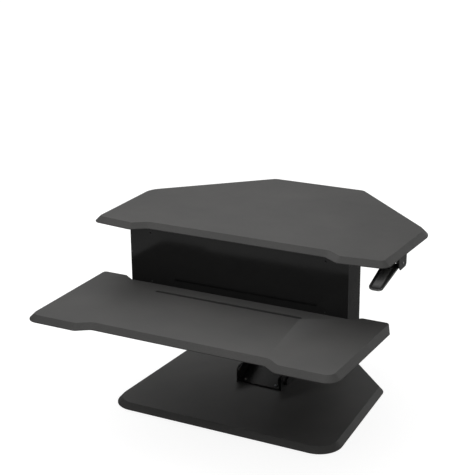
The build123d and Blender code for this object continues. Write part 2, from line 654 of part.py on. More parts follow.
def arc_radius(before, corner, after):
    """The largest arc that leaves a tenth of the shorter run straight at a corner."""
    one = Vector(*corner) - Vector(*before)
    two = Vector(*after) - Vector(*corner)
    half_turn = math.radians(one.get_angle(two)) / 2
    return 0.45 * min(one.length, two.length) / math.tan(half_turn)


def make_cable():
    radii = [arc_radius(*CABLE_POINTS[k:k + 3]) for k in range(len(CABLE_POINTS) - 2)]
    print("cable radii", [round(radius) for radius in radii])
    path = FilletPolyline(*CABLE_POINTS, radius=radii)
    section = Plane(path @ 0, z_dir=path % 0) * Circle(CABLE_R)
    cable = sweep(section, path=path)
    print("cable volume", round(cable.volume), round(math.pi * CABLE_R ** 2 * path.length))
    save("release_cable", cable)
    head = shifted(HIGH_PIVOT, SPRING_HEAD)
    body = rod_x(head, 13.0, -15.0, 15.0) + block(-15, 15, head[0] - 8, head[0] + 8, head[1], head[1] + 24)
    body = body - rod_x(head, SPRING_PIN_R + RUNNING, -20, 20)
    end = Plane(path @ 1, z_dir=path % 1)
    body = body - extrude(end * Circle(CABLE_R + 0.2), 60, both=True)
    save("release_head", body)
    clips = []
    for x, y, z in (CABLE_POINTS[2], CABLE_POINTS[4]):
        clip = block(x - 5, x + 5, y - 8, y + 8, z - 4.5, TOP_UNDER - 0.2)
        channel_cut = block(x - 6, x + 6, y - 3.4, y + 3.4, z - 3.4, z + 3.4)
        clips.append(clip - channel_cut)
    save("cable_clips", *clips)


os.makedirs("parts", exist_ok=True)
make_boards()
make_base_bracket()
make_pins_and_studs()
make_links()
make_arms()
make_knee()
make_carriage()
make_springs()
make_riser_panel()
make_riser_sides()
make_riser_beams()
make_tray_supports()
make_top_rails()
make_lever()
make_cable()
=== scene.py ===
import json
import math

import bmesh
import bpy
from mathutils import Matrix, Quaternion, Vector


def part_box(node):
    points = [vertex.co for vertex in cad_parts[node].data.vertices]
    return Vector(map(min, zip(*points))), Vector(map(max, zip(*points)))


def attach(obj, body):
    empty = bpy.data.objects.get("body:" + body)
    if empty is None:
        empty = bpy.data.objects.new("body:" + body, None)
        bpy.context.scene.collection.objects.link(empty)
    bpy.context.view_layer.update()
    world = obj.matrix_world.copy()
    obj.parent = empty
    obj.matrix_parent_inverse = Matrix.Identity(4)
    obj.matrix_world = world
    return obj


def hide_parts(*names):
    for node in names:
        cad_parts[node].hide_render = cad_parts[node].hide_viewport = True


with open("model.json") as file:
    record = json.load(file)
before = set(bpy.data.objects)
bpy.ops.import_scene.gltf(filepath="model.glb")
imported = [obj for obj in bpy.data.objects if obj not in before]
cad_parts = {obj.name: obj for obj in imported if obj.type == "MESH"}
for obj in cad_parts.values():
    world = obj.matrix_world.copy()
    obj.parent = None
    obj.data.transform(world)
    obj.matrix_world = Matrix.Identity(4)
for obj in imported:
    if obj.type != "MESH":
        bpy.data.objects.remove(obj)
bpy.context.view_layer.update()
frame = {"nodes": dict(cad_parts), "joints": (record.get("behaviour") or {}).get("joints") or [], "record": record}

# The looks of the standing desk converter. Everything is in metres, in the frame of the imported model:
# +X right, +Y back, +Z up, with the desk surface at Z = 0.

MM = 0.001
WELD = 2e-6
RECORD = frame["record"]
NODES = frame["nodes"]
BODY_OF = {node: body for body, nodes in RECORD["behaviour"]["bodies"].items() for node in nodes}
SLOT_OF = {row["node"]: row["material_slot"] for row in RECORD["subparts"]}
JOINTS = {joint["name"]: joint for joint in frame["joints"]}

# Camera
CAMERA_PLACE = (1.3811, -2.7321, 1.5231)
CAMERA_AZIMUTH = 25.894
CAMERA_ELEVATION = 18.265
CAMERA_ROLL = 0.16
CAMERA_LENS = 87.5
CAMERA_SHIFT = (-0.0713, -0.0147)

# Studio
FLOOR_HALF = 40.0
FLOOR_GREY = 0.24
FLOOR_GLOW = 0.86
SKY_FROM_CAMERA = 1.0
SKY_STRENGTH = 1.25
SKY_WARMTH = 0.985
SKY_STOPS = [(0.0, 0.12), (0.02, 0.03), (0.30, 0.03), (0.50, 0.12), (0.75, 0.66), (1.0, 1.0)]

# Softboxes: name, place, the point it aims at, width and height, watts
SOFTBOXES = [
    ("overhead_softbox", (-1.3, 1.0, 2.7), (0.0, 0.1, 0.5), (3.6, 2.6), 44),
    ("back_right_fill", (1.6, 2.9, 0.8), (0.0, 0.2, 0.25), (1.8, 1.2), 12),
    ("front_softbox", (0.2, -2.6, 2.9), (0.0, -0.4, 0.3), (3.0, 1.6), 26),
]

# Pieces
PEBBLE_SMOOTHNESS = 0.6
SHARP_ANGLE = 28.0
FLAT_ANGLE = 0.5
BOARD_CREASE = 2.2 * MM
BOARD_LIP = 0.6 * MM
SCREW_HEAD_R = 4.2 * MM
SCREW_HEAD_H = 2.6 * MM
SCREW_SHANK_R = 2.0 * MM
SCREW_DOME = 0.35
SCREW_RECESS = 0.62
SCREW_CORE = 0.75
THREAD_PITCH = 1.2 * MM
PANEL_HEAD_R = 3.15 * MM
PANEL_HEAD_H = 0.75 * MM
PANEL_HEAD_SUNK = 0.2 * MM
PANEL_DOME = 0.5 * MM
PANEL_RECESS = 0.85 * MM


# ---- camera, floor and light ----

def make_camera():
    data = bpy.data.cameras.new("view")
    data.sensor_width = 36
    data.lens = CAMERA_LENS
    data.shift_x, data.shift_y = CAMERA_SHIFT
    data.clip_end = 200
    camera = bpy.data.objects.new("view", data)
    azimuth, elevation = math.radians(CAMERA_AZIMUTH), math.radians(CAMERA_ELEVATION)
    level = math.cos(elevation)
    back = Vector((math.sin(azimuth) * level, -math.cos(azimuth) * level, math.sin(elevation)))
    turn = (-back).to_track_quat("-Z", "Y")
    camera.rotation_mode = "QUATERNION"
    camera.rotation_quaternion = turn @ Quaternion((0, 0, 1), math.radians(CAMERA_ROLL))
    camera.location = CAMERA_PLACE
    bpy.context.scene.collection.objects.link(camera)
    bpy.context.scene.camera = camera


def make_floor():
    mesh = bpy.data.meshes.new("floor")
    half = FLOOR_HALF
    corners = [(-half, -half, 0), (half, -half, 0), (half, half, 0), (-half, half, 0)]
    mesh.from_pydata(corners, [], [(0, 1, 2, 3)])
    mesh.materials.append(floor_paint())
    floor = bpy.data.objects.new("floor", mesh)
    bpy.context.scene.collection.objects.link(floor)


def make_sky():
    """A studio that is bright overhead and dim at eye level, with a pale backdrop for the camera."""
    world = bpy.data.worlds.new("studio")
    bpy.context.scene.world = world
    world.use_nodes = True
    tree = world.node_tree
    tree.nodes.clear()
    place = tree.nodes.new("ShaderNodeTexCoord")
    parts = tree.nodes.new("ShaderNodeSeparateXYZ")
    tree.links.new(place.outputs["Generated"], parts.inputs[0])
    ramp = tree.nodes.new("ShaderNodeValToRGB")
    tree.links.new(parts.outputs["Z"], ramp.inputs[0])
    set_stops(ramp, [(at, (tone, tone, tone * SKY_WARMTH, 1)) for at, tone in SKY_STOPS])
    light = tree.nodes.new("ShaderNodeBackground")
    light.inputs["Strength"].default_value = SKY_STRENGTH
    tree.links.new(ramp.outputs["Color"], light.inputs["Color"])
    seen = tree.nodes.new("ShaderNodeBackground")
    seen.inputs["Color"].default_value = (SKY_FROM_CAMERA,) * 3 + (1,)
    path = tree.nodes.new("ShaderNodeLightPath")
    mix = tree.nodes.new("ShaderNodeMixShader")
    tree.links.new(path.outputs["Is Camera Ray"], mix.inputs[0])
    tree.links.new(light.outputs[0], mix.inputs[1])
    tree.links.new(seen.outputs[0], mix.inputs[2])
    out = tree.nodes.new("ShaderNodeOutputWorld")
    tree.links.new(mix.outputs[0], out.inputs["Surface"])


def softbox(name, place, aim, size, watts):
    data = bpy.data.lights.new(name, "AREA")
    data.shape = "RECTANGLE"
    data.size, data.size_y = size
    data.energy = watts
    lamp = bpy.data.objects.new(name, data)
    lamp.location = place
    lamp.rotation_mode = "QUATERNION"
    lamp.rotation_quaternion = (Vector(aim) - Vector(place)).to_track_quat("-Z", "Y")
    bpy.context.scene.collection.objects.link(lamp)


def make_lights():
    for name, place, aim, size, watts in SOFTBOXES:
        softbox(name, place, aim, size, watts)


# ---- materials ----

def set_stops(ramp, stops):
    """Gives a colour ramp its (place, colour) stops."""
    elements = ramp.color_ramp.elements
    while len(elements) < len(stops):
        elements.new(0.5)
    for element, (at, colour) in zip(elements, stops):
        element.position = at
        element.color = colour


class Paint:
    """A principled material whose patterns follow the piece's own coordinates."""

    def __init__(self, name, roughness, metallic=0.0, **sockets):
        self.made = bpy.data.materials.new(name)
        self.made.use_nodes = True
        self.tree = self.made.node_tree
        self.shader = self.tree.nodes["Principled BSDF"]
        self.shader.inputs["Roughness"].default_value = roughness
        self.shader.inputs["Metallic"].default_value = metallic
        for socket, value in sockets.items():
            self.shader.inputs[socket.replace("_", " ")].default_value = value
        self.place = self.tree.nodes.new("ShaderNodeTexCoord").outputs["Object"]

    def link(self, start, end):
        self.tree.links.new(start, end)

    def stretched(self, x, y, z):
        """The coordinates, drawn out along an axis to make brushed or drawn marks."""
        mapping = self.tree.nodes.new("ShaderNodeMapping")
        mapping.inputs["Scale"].default_value = (x, y, z)
        self.link(self.place, mapping.inputs["Vector"])
        return mapping.outputs["Vector"]

    def noise(self, scale, detail=3.0, roughness=0.55, place=None):
        node = self.tree.nodes.new("ShaderNodeTexNoise")
        node.inputs["Scale"].default_value = scale
        node.inputs["Detail"].default_value = detail
        node.inputs["Roughness"].default_value = roughness
        self.link(place or self.place, node.inputs["Vector"])
        return node.outputs["Fac"]

    def pebbles(self, scale):
        node = self.tree.nodes.new("ShaderNodeTexVoronoi")
        node.feature = "SMOOTH_F1"
        node.inputs["Scale"].default_value = scale
        node.inputs["Smoothness"].default_value = PEBBLE_SMOOTHNESS
        self.link(self.place, node.inputs["Vector"])
        return node.outputs["Distance"]

    def outer_edges(self, low=0.52, high=0.62):
        """1 on rounded outer edges and 0 elsewhere."""
        geometry = self.tree.nodes.new("ShaderNodeNewGeometry")
        return self.spread(geometry.outputs["Pointiness"], low, high, 0, 1)

    def spread(self, value, from_low, from_high, to_low, to_high):
        node = self.tree.nodes.new("ShaderNodeMapRange")
        node.inputs["From Min"].default_value = from_low
        node.inputs["From Max"].default_value = from_high
        node.inputs["To Min"].default_value = to_low
        node.inputs["To Max"].default_value = to_high
        self.link(value, node.inputs["Value"])
        return node.outputs["Result"]

    def times(self, one, two):
        node = self.tree.nodes.new("ShaderNodeMath")
        node.operation = "MULTIPLY"
        self.link(one, node.inputs[0])
        self.link(two, node.inputs[1])
        return node.outputs[0]

    def colours(self, factor, stops):
        ramp = self.tree.nodes.new("ShaderNodeValToRGB")
        set_stops(ramp, [(at, colour + (1,)) for at, colour in stops])
        self.link(factor, ramp.inputs[0])
        return ramp.outputs["Color"]

    def over(self, factor, under, colour):
        """colour laid over the socket under, where factor is 1."""
        node = self.tree.nodes.new("ShaderNodeMix")
        node.data_type = "RGBA"
        self.link(factor, node.inputs["Factor"])
        self.link(under, node.inputs["A"])
        node.inputs["B"].default_value = colour + (1,)
        return node.outputs["Result"]

    def colour(self, socket):
        self.link(socket, self.shader.inputs["Base Color"])

    def rough(self, socket):
        self.link(socket, self.shader.inputs["Roughness"])

    def relief(self, *layers):
        """Bumps, each (height socket, strength, depth in metres), one over the other."""
        normal = None
        for height, strength, depth in layers:
            node = self.tree.nodes.new("ShaderNodeBump")
            node.inputs["Strength"].default_value = strength
            node.inputs["Distance"].default_value = depth
            self.link(height, node.inputs["Height"])
            if normal:
                self.link(normal, node.inputs["Normal"])
            normal = node.outputs["Normal"]
        self.link(normal, self.shader.inputs["Normal"])


def grey(value, warm=0.0):
    return (value * (1 + warm), value, value * (1 - warm))


def floor_paint():
    """Pale to the camera, with a faint shadow, and a softer grey for reflections and bounced light."""
    paint = Paint("studio_floor", 0.9, Specular_IOR_Level=0.1)
    cloud = paint.noise(0.8, 2)
    paint.colour(paint.colours(cloud, [(0.3, grey(FLOOR_GREY)), (0.7, grey(FLOOR_GREY + 0.03))]))
    tree = paint.tree
    path = tree.nodes.new("ShaderNodeLightPath")
    glow = tree.nodes.new("ShaderNodeEmission")
    glow.inputs["Color"].default_value = grey(FLOOR_GLOW) + (1,)
    total = tree.nodes.new("ShaderNodeAddShader")
    paint.link(paint.shader.outputs[0], total.inputs[0])
    paint.link(glow.outputs[0], total.inputs[1])
    choice = tree.nodes.new("ShaderNodeMixShader")
    paint.link(path.outputs["Is Camera Ray"], choice.inputs[0])
    paint.link(paint.shader.outputs[0], choice.inputs[1])
    paint.link(total.outputs[0], choice.inputs[2])
    paint.link(choice.outputs[0], tree.nodes["Material Output"].inputs["Surface"])
    return paint.made


def laminate_paint():
    """Black wrapped board: a fine leather grain, faint mottling and softly rubbed edges."""
    paint = Paint("board_laminate", 0.5, Specular_IOR_Level=0.22)
    grain = paint.pebbles(760)
    mottle = paint.noise(5.5, 4)
    speck = paint.noise(420, 2)
    under = paint.colours(mottle, [(0.32, grey(0.055, 0.01)), (0.68, grey(0.064, 0.02))])
    darker = paint.over(paint.spread(speck, 0.45, 0.75, 0, 0.5), under, grey(0.036))
    paint.colour(paint.over(paint.spread(paint.outer_edges(), 0, 1, 0, 0.35), darker, grey(0.12)))
    smudge = paint.noise(7, 5, 0.6)
    paint.rough(paint.spread(smudge, 0.3, 0.7, 0.46, 0.52))
    paint.relief((grain, 0.30, 0.12 * MM), (paint.noise(1500, 2), 0.15, 0.05 * MM))
    return paint.made


def gloss_paint():
    """Glossy black coat on sheet steel, with a faint orange peel."""
    paint = Paint("gloss_black_coat", 0.12, Specular_IOR_Level=0.75)
    dust = paint.noise(60, 4)
    paint.colour(paint.colours(dust, [(0.3, grey(0.0045)), (0.75, grey(0.0075))]))
    paint.rough(paint.spread(paint.noise(9, 4), 0.3, 0.7, 0.09, 0.15))
    paint.relief((paint.noise(150, 2), 0.035, 0.5 * MM))
    return paint.made


def satin_paint():
    """Satin black coat on the riser's folded sides, with a softer shine than the front."""
    paint = Paint("satin_black_coat", 0.3, Specular_IOR_Level=0.12)
    paint.colour(paint.colours(paint.noise(40, 3), [(0.3, grey(0.0045)), (0.7, grey(0.0070))]))
    paint.rough(paint.spread(paint.noise(16, 4), 0.3, 0.7, 0.24, 0.34))
    paint.relief((paint.noise(420, 2), 0.10, 0.10 * MM))
    return paint.made


def steel_paint():
    """Semi-gloss black powder coat with its fine orange peel, and a painted highlight on its rounded edges."""
    paint = Paint("black_powder_coat", 0.36, Specular_IOR_Level=0.4)
    tone = paint.noise(14, 3)
    under = paint.colours(tone, [(0.3, grey(0.013)), (0.7, grey(0.018))])
    # Painted highlight: the rounded edges are painted a lighter grey.
    paint.colour(paint.over(paint.spread(paint.outer_edges(), 0, 1, 0, 0.4), under, grey(0.04)))
    paint.rough(paint.spread(paint.noise(22, 4), 0.3, 0.7, 0.30, 0.44))
    paint.relief((paint.noise(520, 2), 0.22, 0.12 * MM))
    return paint.made


def zinc_paint():
    """Bright zinc plate with faint blue and straw passivation and a soft spangle."""
    paint = Paint("zinc_plate", 0.3, metallic=1.0)
    tint = paint.noise(90, 3)
    paint.colour(paint.colours(tint, [(0.3, (0.52, 0.55, 0.60)), (0.5, (0.62, 0.62, 0.62)),
                                      (0.7, (0.64, 0.61, 0.54))]))
    paint.rough(paint.spread(paint.noise(340, 3), 0.3, 0.7, 0.30, 0.45))
    paint.relief((paint.noise(900, 2), 0.12, 0.05 * MM))
    return paint.made


def bronze_paint():
    paint = Paint("oiled_bronze", 0.42, metallic=1.0)
    paint.colour(paint.colours(paint.noise(160, 4), [(0.3, (0.30, 0.19, 0.08)), (0.7, (0.48, 0.32, 0.15))]))
    paint.rough(paint.spread(paint.noise(700, 2), 0.3, 0.7, 0.34, 0.55))
    paint.relief((paint.pebbles(1600), 0.2, 0.05 * MM))
    return paint.made


def chrome_paint():
    paint = Paint("hard_chrome", 0.08, metallic=1.0)
    drawn = paint.noise(40, 3, place=paint.stretched(30, 1.2, 1.2))
    paint.colour(paint.colours(drawn, [(0.3, (0.68, 0.69, 0.70)), (0.7, (0.80, 0.80, 0.80))]))
    paint.rough(paint.spread(drawn, 0.3, 0.7, 0.05, 0.13))
    return paint.made


def tube_paint():
    paint = Paint("satin_tube_coat", 0.3)
    paint.colour(paint.colours(paint.noise(30, 3), [(0.3, grey(0.013)), (0.7, grey(0.020))]))
    paint.rough(paint.spread(paint.noise(60, 3), 0.3, 0.7, 0.24, 0.36))
    paint.relief((paint.noise(650, 2), 0.12, 0.08 * MM))
    return paint.made


def rubber_paint():
    paint = Paint("black_rubber", 0.78)
    paint.colour(paint.colours(paint.noise(120, 4), [(0.3, grey(0.014)), (0.7, grey(0.024))]))
    paint.rough(paint.spread(paint.noise(80, 3), 0.3, 0.7, 0.70, 0.88))
    paint.relief((paint.noise(1100, 3), 0.35, 0.12 * MM))
    return paint.made


def plastic_paint():
    paint = Paint("moulded_plastic", 0.5)
    paint.colour(paint.colours(paint.noise(45, 3), [(0.3, grey(0.014)), (0.7, grey(0.020))]))
    paint.rough(paint.spread(paint.noise(240, 3), 0.3, 0.7, 0.44, 0.60))
    paint.relief((paint.noise(1300, 2), 0.25, 0.06 * MM))
    return paint.made


def lever_paint():
    """Dark satin lever whose rounded edges are rubbed down to bright metal, their pale colour also a painted rim
    highlight.
    """
    paint = Paint("satin_lever", 0.38)
    under = paint.colours(paint.noise(60, 3), [(0.3, grey(0.026)), (0.7, grey(0.031))])
    # Rubbed edges: worn bare metal, and a painted highlight that lightens the rim's colour.
    wear_and_rim_highlight = paint.times(paint.outer_edges(0.51, 0.58), paint.spread(paint.noise(130, 3), 0.3, 0.6, 0.4, 1))
    paint.colour(paint.over(wear_and_rim_highlight, under, grey(0.55)))
    paint.link(paint.spread(wear_and_rim_highlight, 0.3, 1, 0, 0.9), paint.shader.inputs["Metallic"])
    paint.rough(paint.spread(paint.noise(500, 2), 0.3, 0.7, 0.34, 0.42))
    paint.relief((paint.noise(1400, 2), 0.10, 0.04 * MM))
    return paint.made


PAINTS = {
    "laminate": laminate_paint(),
    "rubber": rubber_paint(),
    "gloss_black_steel": gloss_paint(),
    "satin_black_steel": satin_paint(),
    "black_steel": steel_paint(),
    "zinc_steel": zinc_paint(),
    "bronze": bronze_paint(),
    "chromed_rod": chrome_paint(),
    "spring_tube": tube_paint(),
    "black_plastic": plastic_paint(),
    "lever_metal": lever_paint(),
}


# ---- mesh tools ----

def finish_piece(name, bm, body, slot, stands_for=(), sharp=None):
    """Turns a bmesh into a shown piece that rides on a body and wears its slot's paint."""
    bmesh.ops.recalc_face_normals(bm, faces=bm.faces)
    mesh = bpy.data.meshes.new(name)
    bm.to_mesh(mesh)
    bm.free()
    mesh.materials.append(PAINTS[slot])
    mesh.polygons.foreach_set("use_smooth", [True] * len(mesh.polygons))
    if sharp:
        mesh.set_sharp_from_angle(angle=math.radians(sharp))
    piece = bpy.data.objects.new(name, mesh)
    bpy.context.scene.collection.objects.link(piece)
    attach(piece, body)
    if stands_for:
        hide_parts(*stands_for)
    return piece


def clean_copy(node):
    """A bmesh of a CAD node with its seams welded and its flat faces whole."""
    bm = bmesh.new()
    bm.from_mesh(NODES[node].data)
    bmesh.ops.remove_doubles(bm, verts=bm.verts, dist=WELD)
    bmesh.ops.dissolve_limit(bm, angle_limit=math.radians(FLAT_ANGLE), verts=bm.verts, edges=bm.edges,
                             use_dissolve_boundaries=False)
    return bm


def soften(piece, width, segments=2, by_weight=False):
    """Rounds a piece's sharp edges and evens its shading."""
    bevel = piece.modifiers.new("rounded_edges", "BEVEL")
    bevel.width = width
    bevel.segments = segments
    bevel.limit_method = "WEIGHT" if by_weight else "ANGLE"
    bevel.angle_limit = math.radians(SHARP_ANGLE)
    bevel.use_clamp_overlap = True
    even = piece.modifiers.new("even_shading", "WEIGHTED_NORMAL")
    even.keep_sharp = True


def refine(node, width):
    """Shows the CAD node with its edges rounded to width."""
    piece = finish_piece(node + "_finished", clean_copy(node), BODY_OF[node], SLOT_OF[node], (node,))
    soften(piece, width)


def join_rings(bm, rings, closed=False):
    """Faces between each ring of points and the next, where a ring may be a single point."""
    pairs = list(zip(rings, rings[1:]))
    if closed:
        pairs.append((rings[-1], rings[0]))
    for one, two in pairs:
        for k in range(max(len(one), len(two))):
            corners = [one[k % len(one)], one[(k + 1) % len(one)], two[(k + 1) % len(two)], two[k % len(two)]]
            corners = list(dict.fromkeys(corners))
            if len(corners) > 2:
                bm.faces.new(corners)


def lathe(bm, profile, place, segments=40, closed=False):
    """Turns (radius, height) points about Z, and moves the result by the matrix place."""
    rings = []
    for radius, height in profile:
        count = segments if radius > 1e-7 else 1
        turns = [2 * math.pi * k / count for k in range(count)]
        rings.append([bm.verts.new(place @ Vector((radius * math.cos(turn), radius * math.sin(turn), height)))
                      for turn in turns])
    join_rings(bm, rings, closed)


def facing(axis):
    """A turn that takes +Z to axis."""
    return Vector(axis).to_track_quat("Z", "Y").to_matrix().to_4x4()


def solids_of(node):
    """The separate solids of a CAD node, each as a list of its points."""
    bm = bmesh.new()
    bm.from_mesh(NODES[node].data)
    bmesh.ops.remove_doubles(bm, verts=bm.verts, dist=WELD)
    seen = set()
    found = []
    for start in bm.verts:
        if start in seen:
            continue
        seen.add(start)
        group, waiting = [], [start]
        while waiting:
            vert = waiting.pop()
            group.append(vert.co.copy())
            for edge in vert.link_edges:
                other = edge.other_vert(vert)
                if other not in seen:
                    seen.add(other)
                    waiting.append(other)
        found.append(group)
    bm.free()
    return found


def seat(points, axis):
    """(turned place at the low end, length) of a round solid that stands along axis."""
    turn = facing(axis)
    local = [turn.inverted() @ point for point in points]
    low = Vector(min(point[k] for point in local) for k in range(3))
    high = Vector(max(point[k] for point in local) for k in range(3))
    middle = (low + high) / 2
    return turn @ Matrix.Translation((middle.x, middle.y, low.z)), high.z - low.z


# ---- boards ----

def make_board(node):
    """A wrapped board: its upper crease is rounded more than its thin lip."""
    bm = clean_copy(node)
    top = max(vert.co.z for vert in bm.verts)
    weights = bm.edges.layers.float.new("bevel_weight_edge")
    for edge in bm.edges:
        if len(edge.link_faces) == 2 and edge.calc_face_angle(0) > math.radians(SHARP_ANGLE):
            at_top = all(abs(vert.co.z - top) < WELD * 10 for vert in edge.verts)
            slopes = any(0.2 < abs(face.normal.z) < 0.95 for face in edge.link_faces)
            edge[weights] = 1.0 if at_top and slopes else BOARD_LIP / BOARD_CREASE
    piece = finish_piece(node + "_wrapped", bm, BODY_OF[node], SLOT_OF[node], (node,))
    soften(piece, BOARD_CREASE, 3, by_weight=True)


# ---- fasteners ----

HEAD_RINGS = 16
HEAD_TURNS = 48


def cross_recess(x, y, radius):
    """How deep a cross-shaped driver recess is at a point of a head, from 0 to 1."""
    def arm(across, along):
        wide = 0.11 * radius * (1.6 - along / radius)
        edge = (wide - abs(across)) / (0.06 * radius)
        end = (0.58 * radius - abs(along)) / (0.10 * radius)
        return max(0.0, min(1.0, edge, end))
    return max(arm(x, abs(y)), arm(y, abs(x)))


def driver_head(bm, place, radius, height, dome, depth):
    """A head on Z = 0 with a domed top and a cross recess."""
    rings = []
    for ring in range(HEAD_RINGS + 1):
        r = radius * ring / HEAD_RINGS
        count = HEAD_TURNS if ring else 1
        row = []
        for k in range(count):
            x, y = r * math.cos(2 * math.pi * k / count), r * math.sin(2 * math.pi * k / count)
            share = r / radius
            z = height - dome * share ** 2 - (height - dome) * max(0.0, share - 0.86) ** 2 / 0.14 ** 2
            row.append(bm.verts.new(place @ Vector((x, y, z - depth * cross_recess(x, y, radius)))))
        rings.append(row)
    rings.append([bm.verts.new(place @ Vector((0, 0, 0)))])
    join_rings(bm, rings)


def thread(length, core, crest):
    """The profile of a threaded shank that hangs below Z = 0 and ends in a point."""
    profile = [(0, 0), (core, 0)]
    turns = int((length - 2 * core) / THREAD_PITCH)
    for k in range(turns):
        root_one, top, root_two = (-THREAD_PITCH * (k + share) for share in (0.3, 0.6, 0.9))
        profile += [(core, root_one), (crest, top), (core, root_two)]
    return profile + [(core, -(length - 1.5 * core)), (0, -length)]


def make_screws(node, axis):
    """Pan-head cross-recess screws where the CAD node's screws are. axis points out of the heads."""
    bm = bmesh.new()
    for points in solids_of(node):
        place, length = seat(points, axis)
        shank = length - SCREW_HEAD_H
        under_head = place @ Matrix.Translation((0, 0, shank))
        driver_head(bm, under_head, SCREW_HEAD_R, SCREW_HEAD_H, SCREW_HEAD_H * SCREW_DOME,
                    SCREW_HEAD_H * SCREW_RECESS)
        lathe(bm, thread(shank, SCREW_SHANK_R * SCREW_CORE, SCREW_SHANK_R), under_head, 16)
    finish_piece(node + "_cross_head", bm, BODY_OF[node], SLOT_OF[node], (node,), sharp=42)


def make_panel_screws(node):
    """Countersunk screws, set in the riser's front, with a low oval top."""
    bm = bmesh.new()
    for points in solids_of(node):
        place, length = seat(points, (0, -1, 0))
        head = place @ Matrix.Translation((0, 0, length - PANEL_HEAD_SUNK))
        driver_head(bm, head, PANEL_HEAD_R, PANEL_HEAD_H, PANEL_DOME, PANEL_RECESS)
        lathe(bm, [(0, 0), (3.1 * MM, 0), (1.9 * MM, -1.2 * MM), (0, -1.25 * MM)], head, 32)
    finish_piece(node + "_oval_head", bm, BODY_OF[node], SLOT_OF[node], (node,), sharp=42)


def arm_axis(first, second):
    """The unit direction from one joint's pivot to another's."""
    return (Vector(JOINTS[second]["pos_m"]) - Vector(JOINTS[first]["pos_m"])).normalized()


# ---- gas springs ----

EYE_R = 10 * MM
EYE_HOLE_R = 4.05 * MM
EYE_HALF = 6 * MM
FOOT_EYE_HOLE_R = 5.0 * MM
ROD_R = 5 * MM
ROD_START = 20 * MM
PISTON_R = 8.8 * MM
PISTON_START = 158 * MM
PISTON_END = 170 * MM
NECK_R = 5.8 * MM
NECK_END = 18.5 * MM
NUT_R = 6.5 * MM
TUBE_R = 11 * MM
BORE_R = 9 * MM
GUIDE_R = 5.05 * MM
GUIDE_START = 64.6 * MM
GUIDE_END = 74 * MM


def eye(bm, place, hole):
    """A turned eye about X with rounded rims."""
    rim = 1.2 * MM
    profile = [(hole, -EYE_HALF + 0.5 * MM), (hole + 0.5 * MM, -EYE_HALF), (EYE_R - rim, -EYE_HALF),
               (EYE_R - 0.3 * rim, -EYE_HALF + 0.3 * rim), (EYE_R, -EYE_HALF + rim), (EYE_R, EYE_HALF - rim),
               (EYE_R - 0.3 * rim, EYE_HALF - 0.3 * rim), (EYE_R - rim, EYE_HALF),
               (hole + 0.5 * MM, EYE_HALF), (hole, EYE_HALF - 0.5 * MM)]
    lathe(bm, profile, place @ Matrix.Rotation(math.pi / 2, 4, "Y"), 40, closed=True)


def make_gas_springs():
    head = Vector(JOINTS["spring_turn"]["pos_m"])
    axis = Vector(JOINTS["spring_stroke"]["axis"])
    low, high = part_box("spring_foot_pin")
    length = ((low + high) / 2 - head).length
    for side in ("left", "right"):
        rod, tube = f"gas_spring_rod_{side}", f"gas_spring_cylinder_{side}"
        low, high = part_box(rod)
        start = Vector(((low.x + high.x) / 2, head.y, head.z))
        place = Matrix.Translation(start) @ facing(axis)
        bm = bmesh.new()
        lathe(bm, [(0, ROD_START), (ROD_R, ROD_START), (ROD_R, PISTON_START), (PISTON_R, PISTON_START),
                   (PISTON_R, PISTON_END), (0, PISTON_END)], place)
        piece = finish_piece(rod + "_shaft", bm, "spring_rods", "chromed_rod", (rod,))
        soften(piece, 0.3 * MM)
        bm = bmesh.new()
        eye(bm, place, EYE_HOLE_R)
        lathe(bm, [(0, 8 * MM), (5.2 * MM, 8 * MM), (NECK_R, 12 * MM), (NECK_R, NECK_END),
                   (0, NECK_END)], place, 32)
        lathe(bm, [(0, 18.6 * MM), (NUT_R, 18.6 * MM), (NUT_R, 24 * MM), (0, 24 * MM)], place, 6)
        piece = finish_piece(rod + "_eye", bm, "spring_rods", "zinc_steel", (rod,))
        soften(piece, 0.35 * MM)
        bm = bmesh.new()
        inside = [(0, length - 30 * MM), (BORE_R, length - 30 * MM), (BORE_R, GUIDE_END),
                  (GUIDE_R, GUIDE_END), (GUIDE_R, GUIDE_START)]
        rolled_end = [(9.4 * MM, GUIDE_START), (9.8 * MM, 64 * MM), (10.6 * MM, 64.3 * MM),
                      (TUBE_R, 65.4 * MM)]
        groove = [(TUBE_R, GUIDE_END), (10.3 * MM, 75.6 * MM), (10.1 * MM, 76.6 * MM),
                  (10.3 * MM, 77.6 * MM), (TUBE_R, 79.2 * MM)]
        foot_end = [(TUBE_R, length - 28 * MM), (10.4 * MM, length - 24.6 * MM),
                    (8.6 * MM, length - 22.4 * MM), (6 * MM, length - 22 * MM),
                    (6 * MM, length - 7 * MM), (0, length - 7 * MM)]
        lathe(bm, inside + rolled_end + groove + foot_end, place, 56)
        finish_piece(tube + "_body", bm, "spring_tubes", "spring_tube", (tube,), sharp=34)
        bm = bmesh.new()
        eye(bm, place @ Matrix.Translation((0, 0, length)), FOOT_EYE_HOLE_R)
        piece = finish_piece(tube + "_eye", bm, "spring_tubes", "zinc_steel", (tube,))
        soften(piece, 0.3 * MM)
        bm = bmesh.new()
        wiper = [(5.06 * MM, 63.2 * MM), (6.4 * MM, 62.9 * MM), (8.6 * MM, 63.8 * MM),
                 (9.2 * MM, 64.7 * MM), (5.06 * MM, 64.7 * MM)]
        lathe(bm, wiper, place, 40, closed=True)
        finish_piece(tube + "_wiper", bm, "spring_tubes", "rubber", sharp=40)


# ---- release lever spring and cable ends ----

WIRE_R = 0.9 * MM
COIL_TURNS = 4.5
COIL_STEPS = 150
COIL_LEG = (0, 11 * MM, 4 * MM)
ADJUSTER_HOLE_R = 2.55 * MM
ADJUSTER_NUT_R = 4.6 * MM
ADJUSTER_NUT_END = 3.4 * MM
ADJUSTER_CORE_R = 3.2 * MM
ADJUSTER_CREST_R = 3.7 * MM
ADJUSTER_THREADS = 8
ADJUSTER_END = 18 * MM


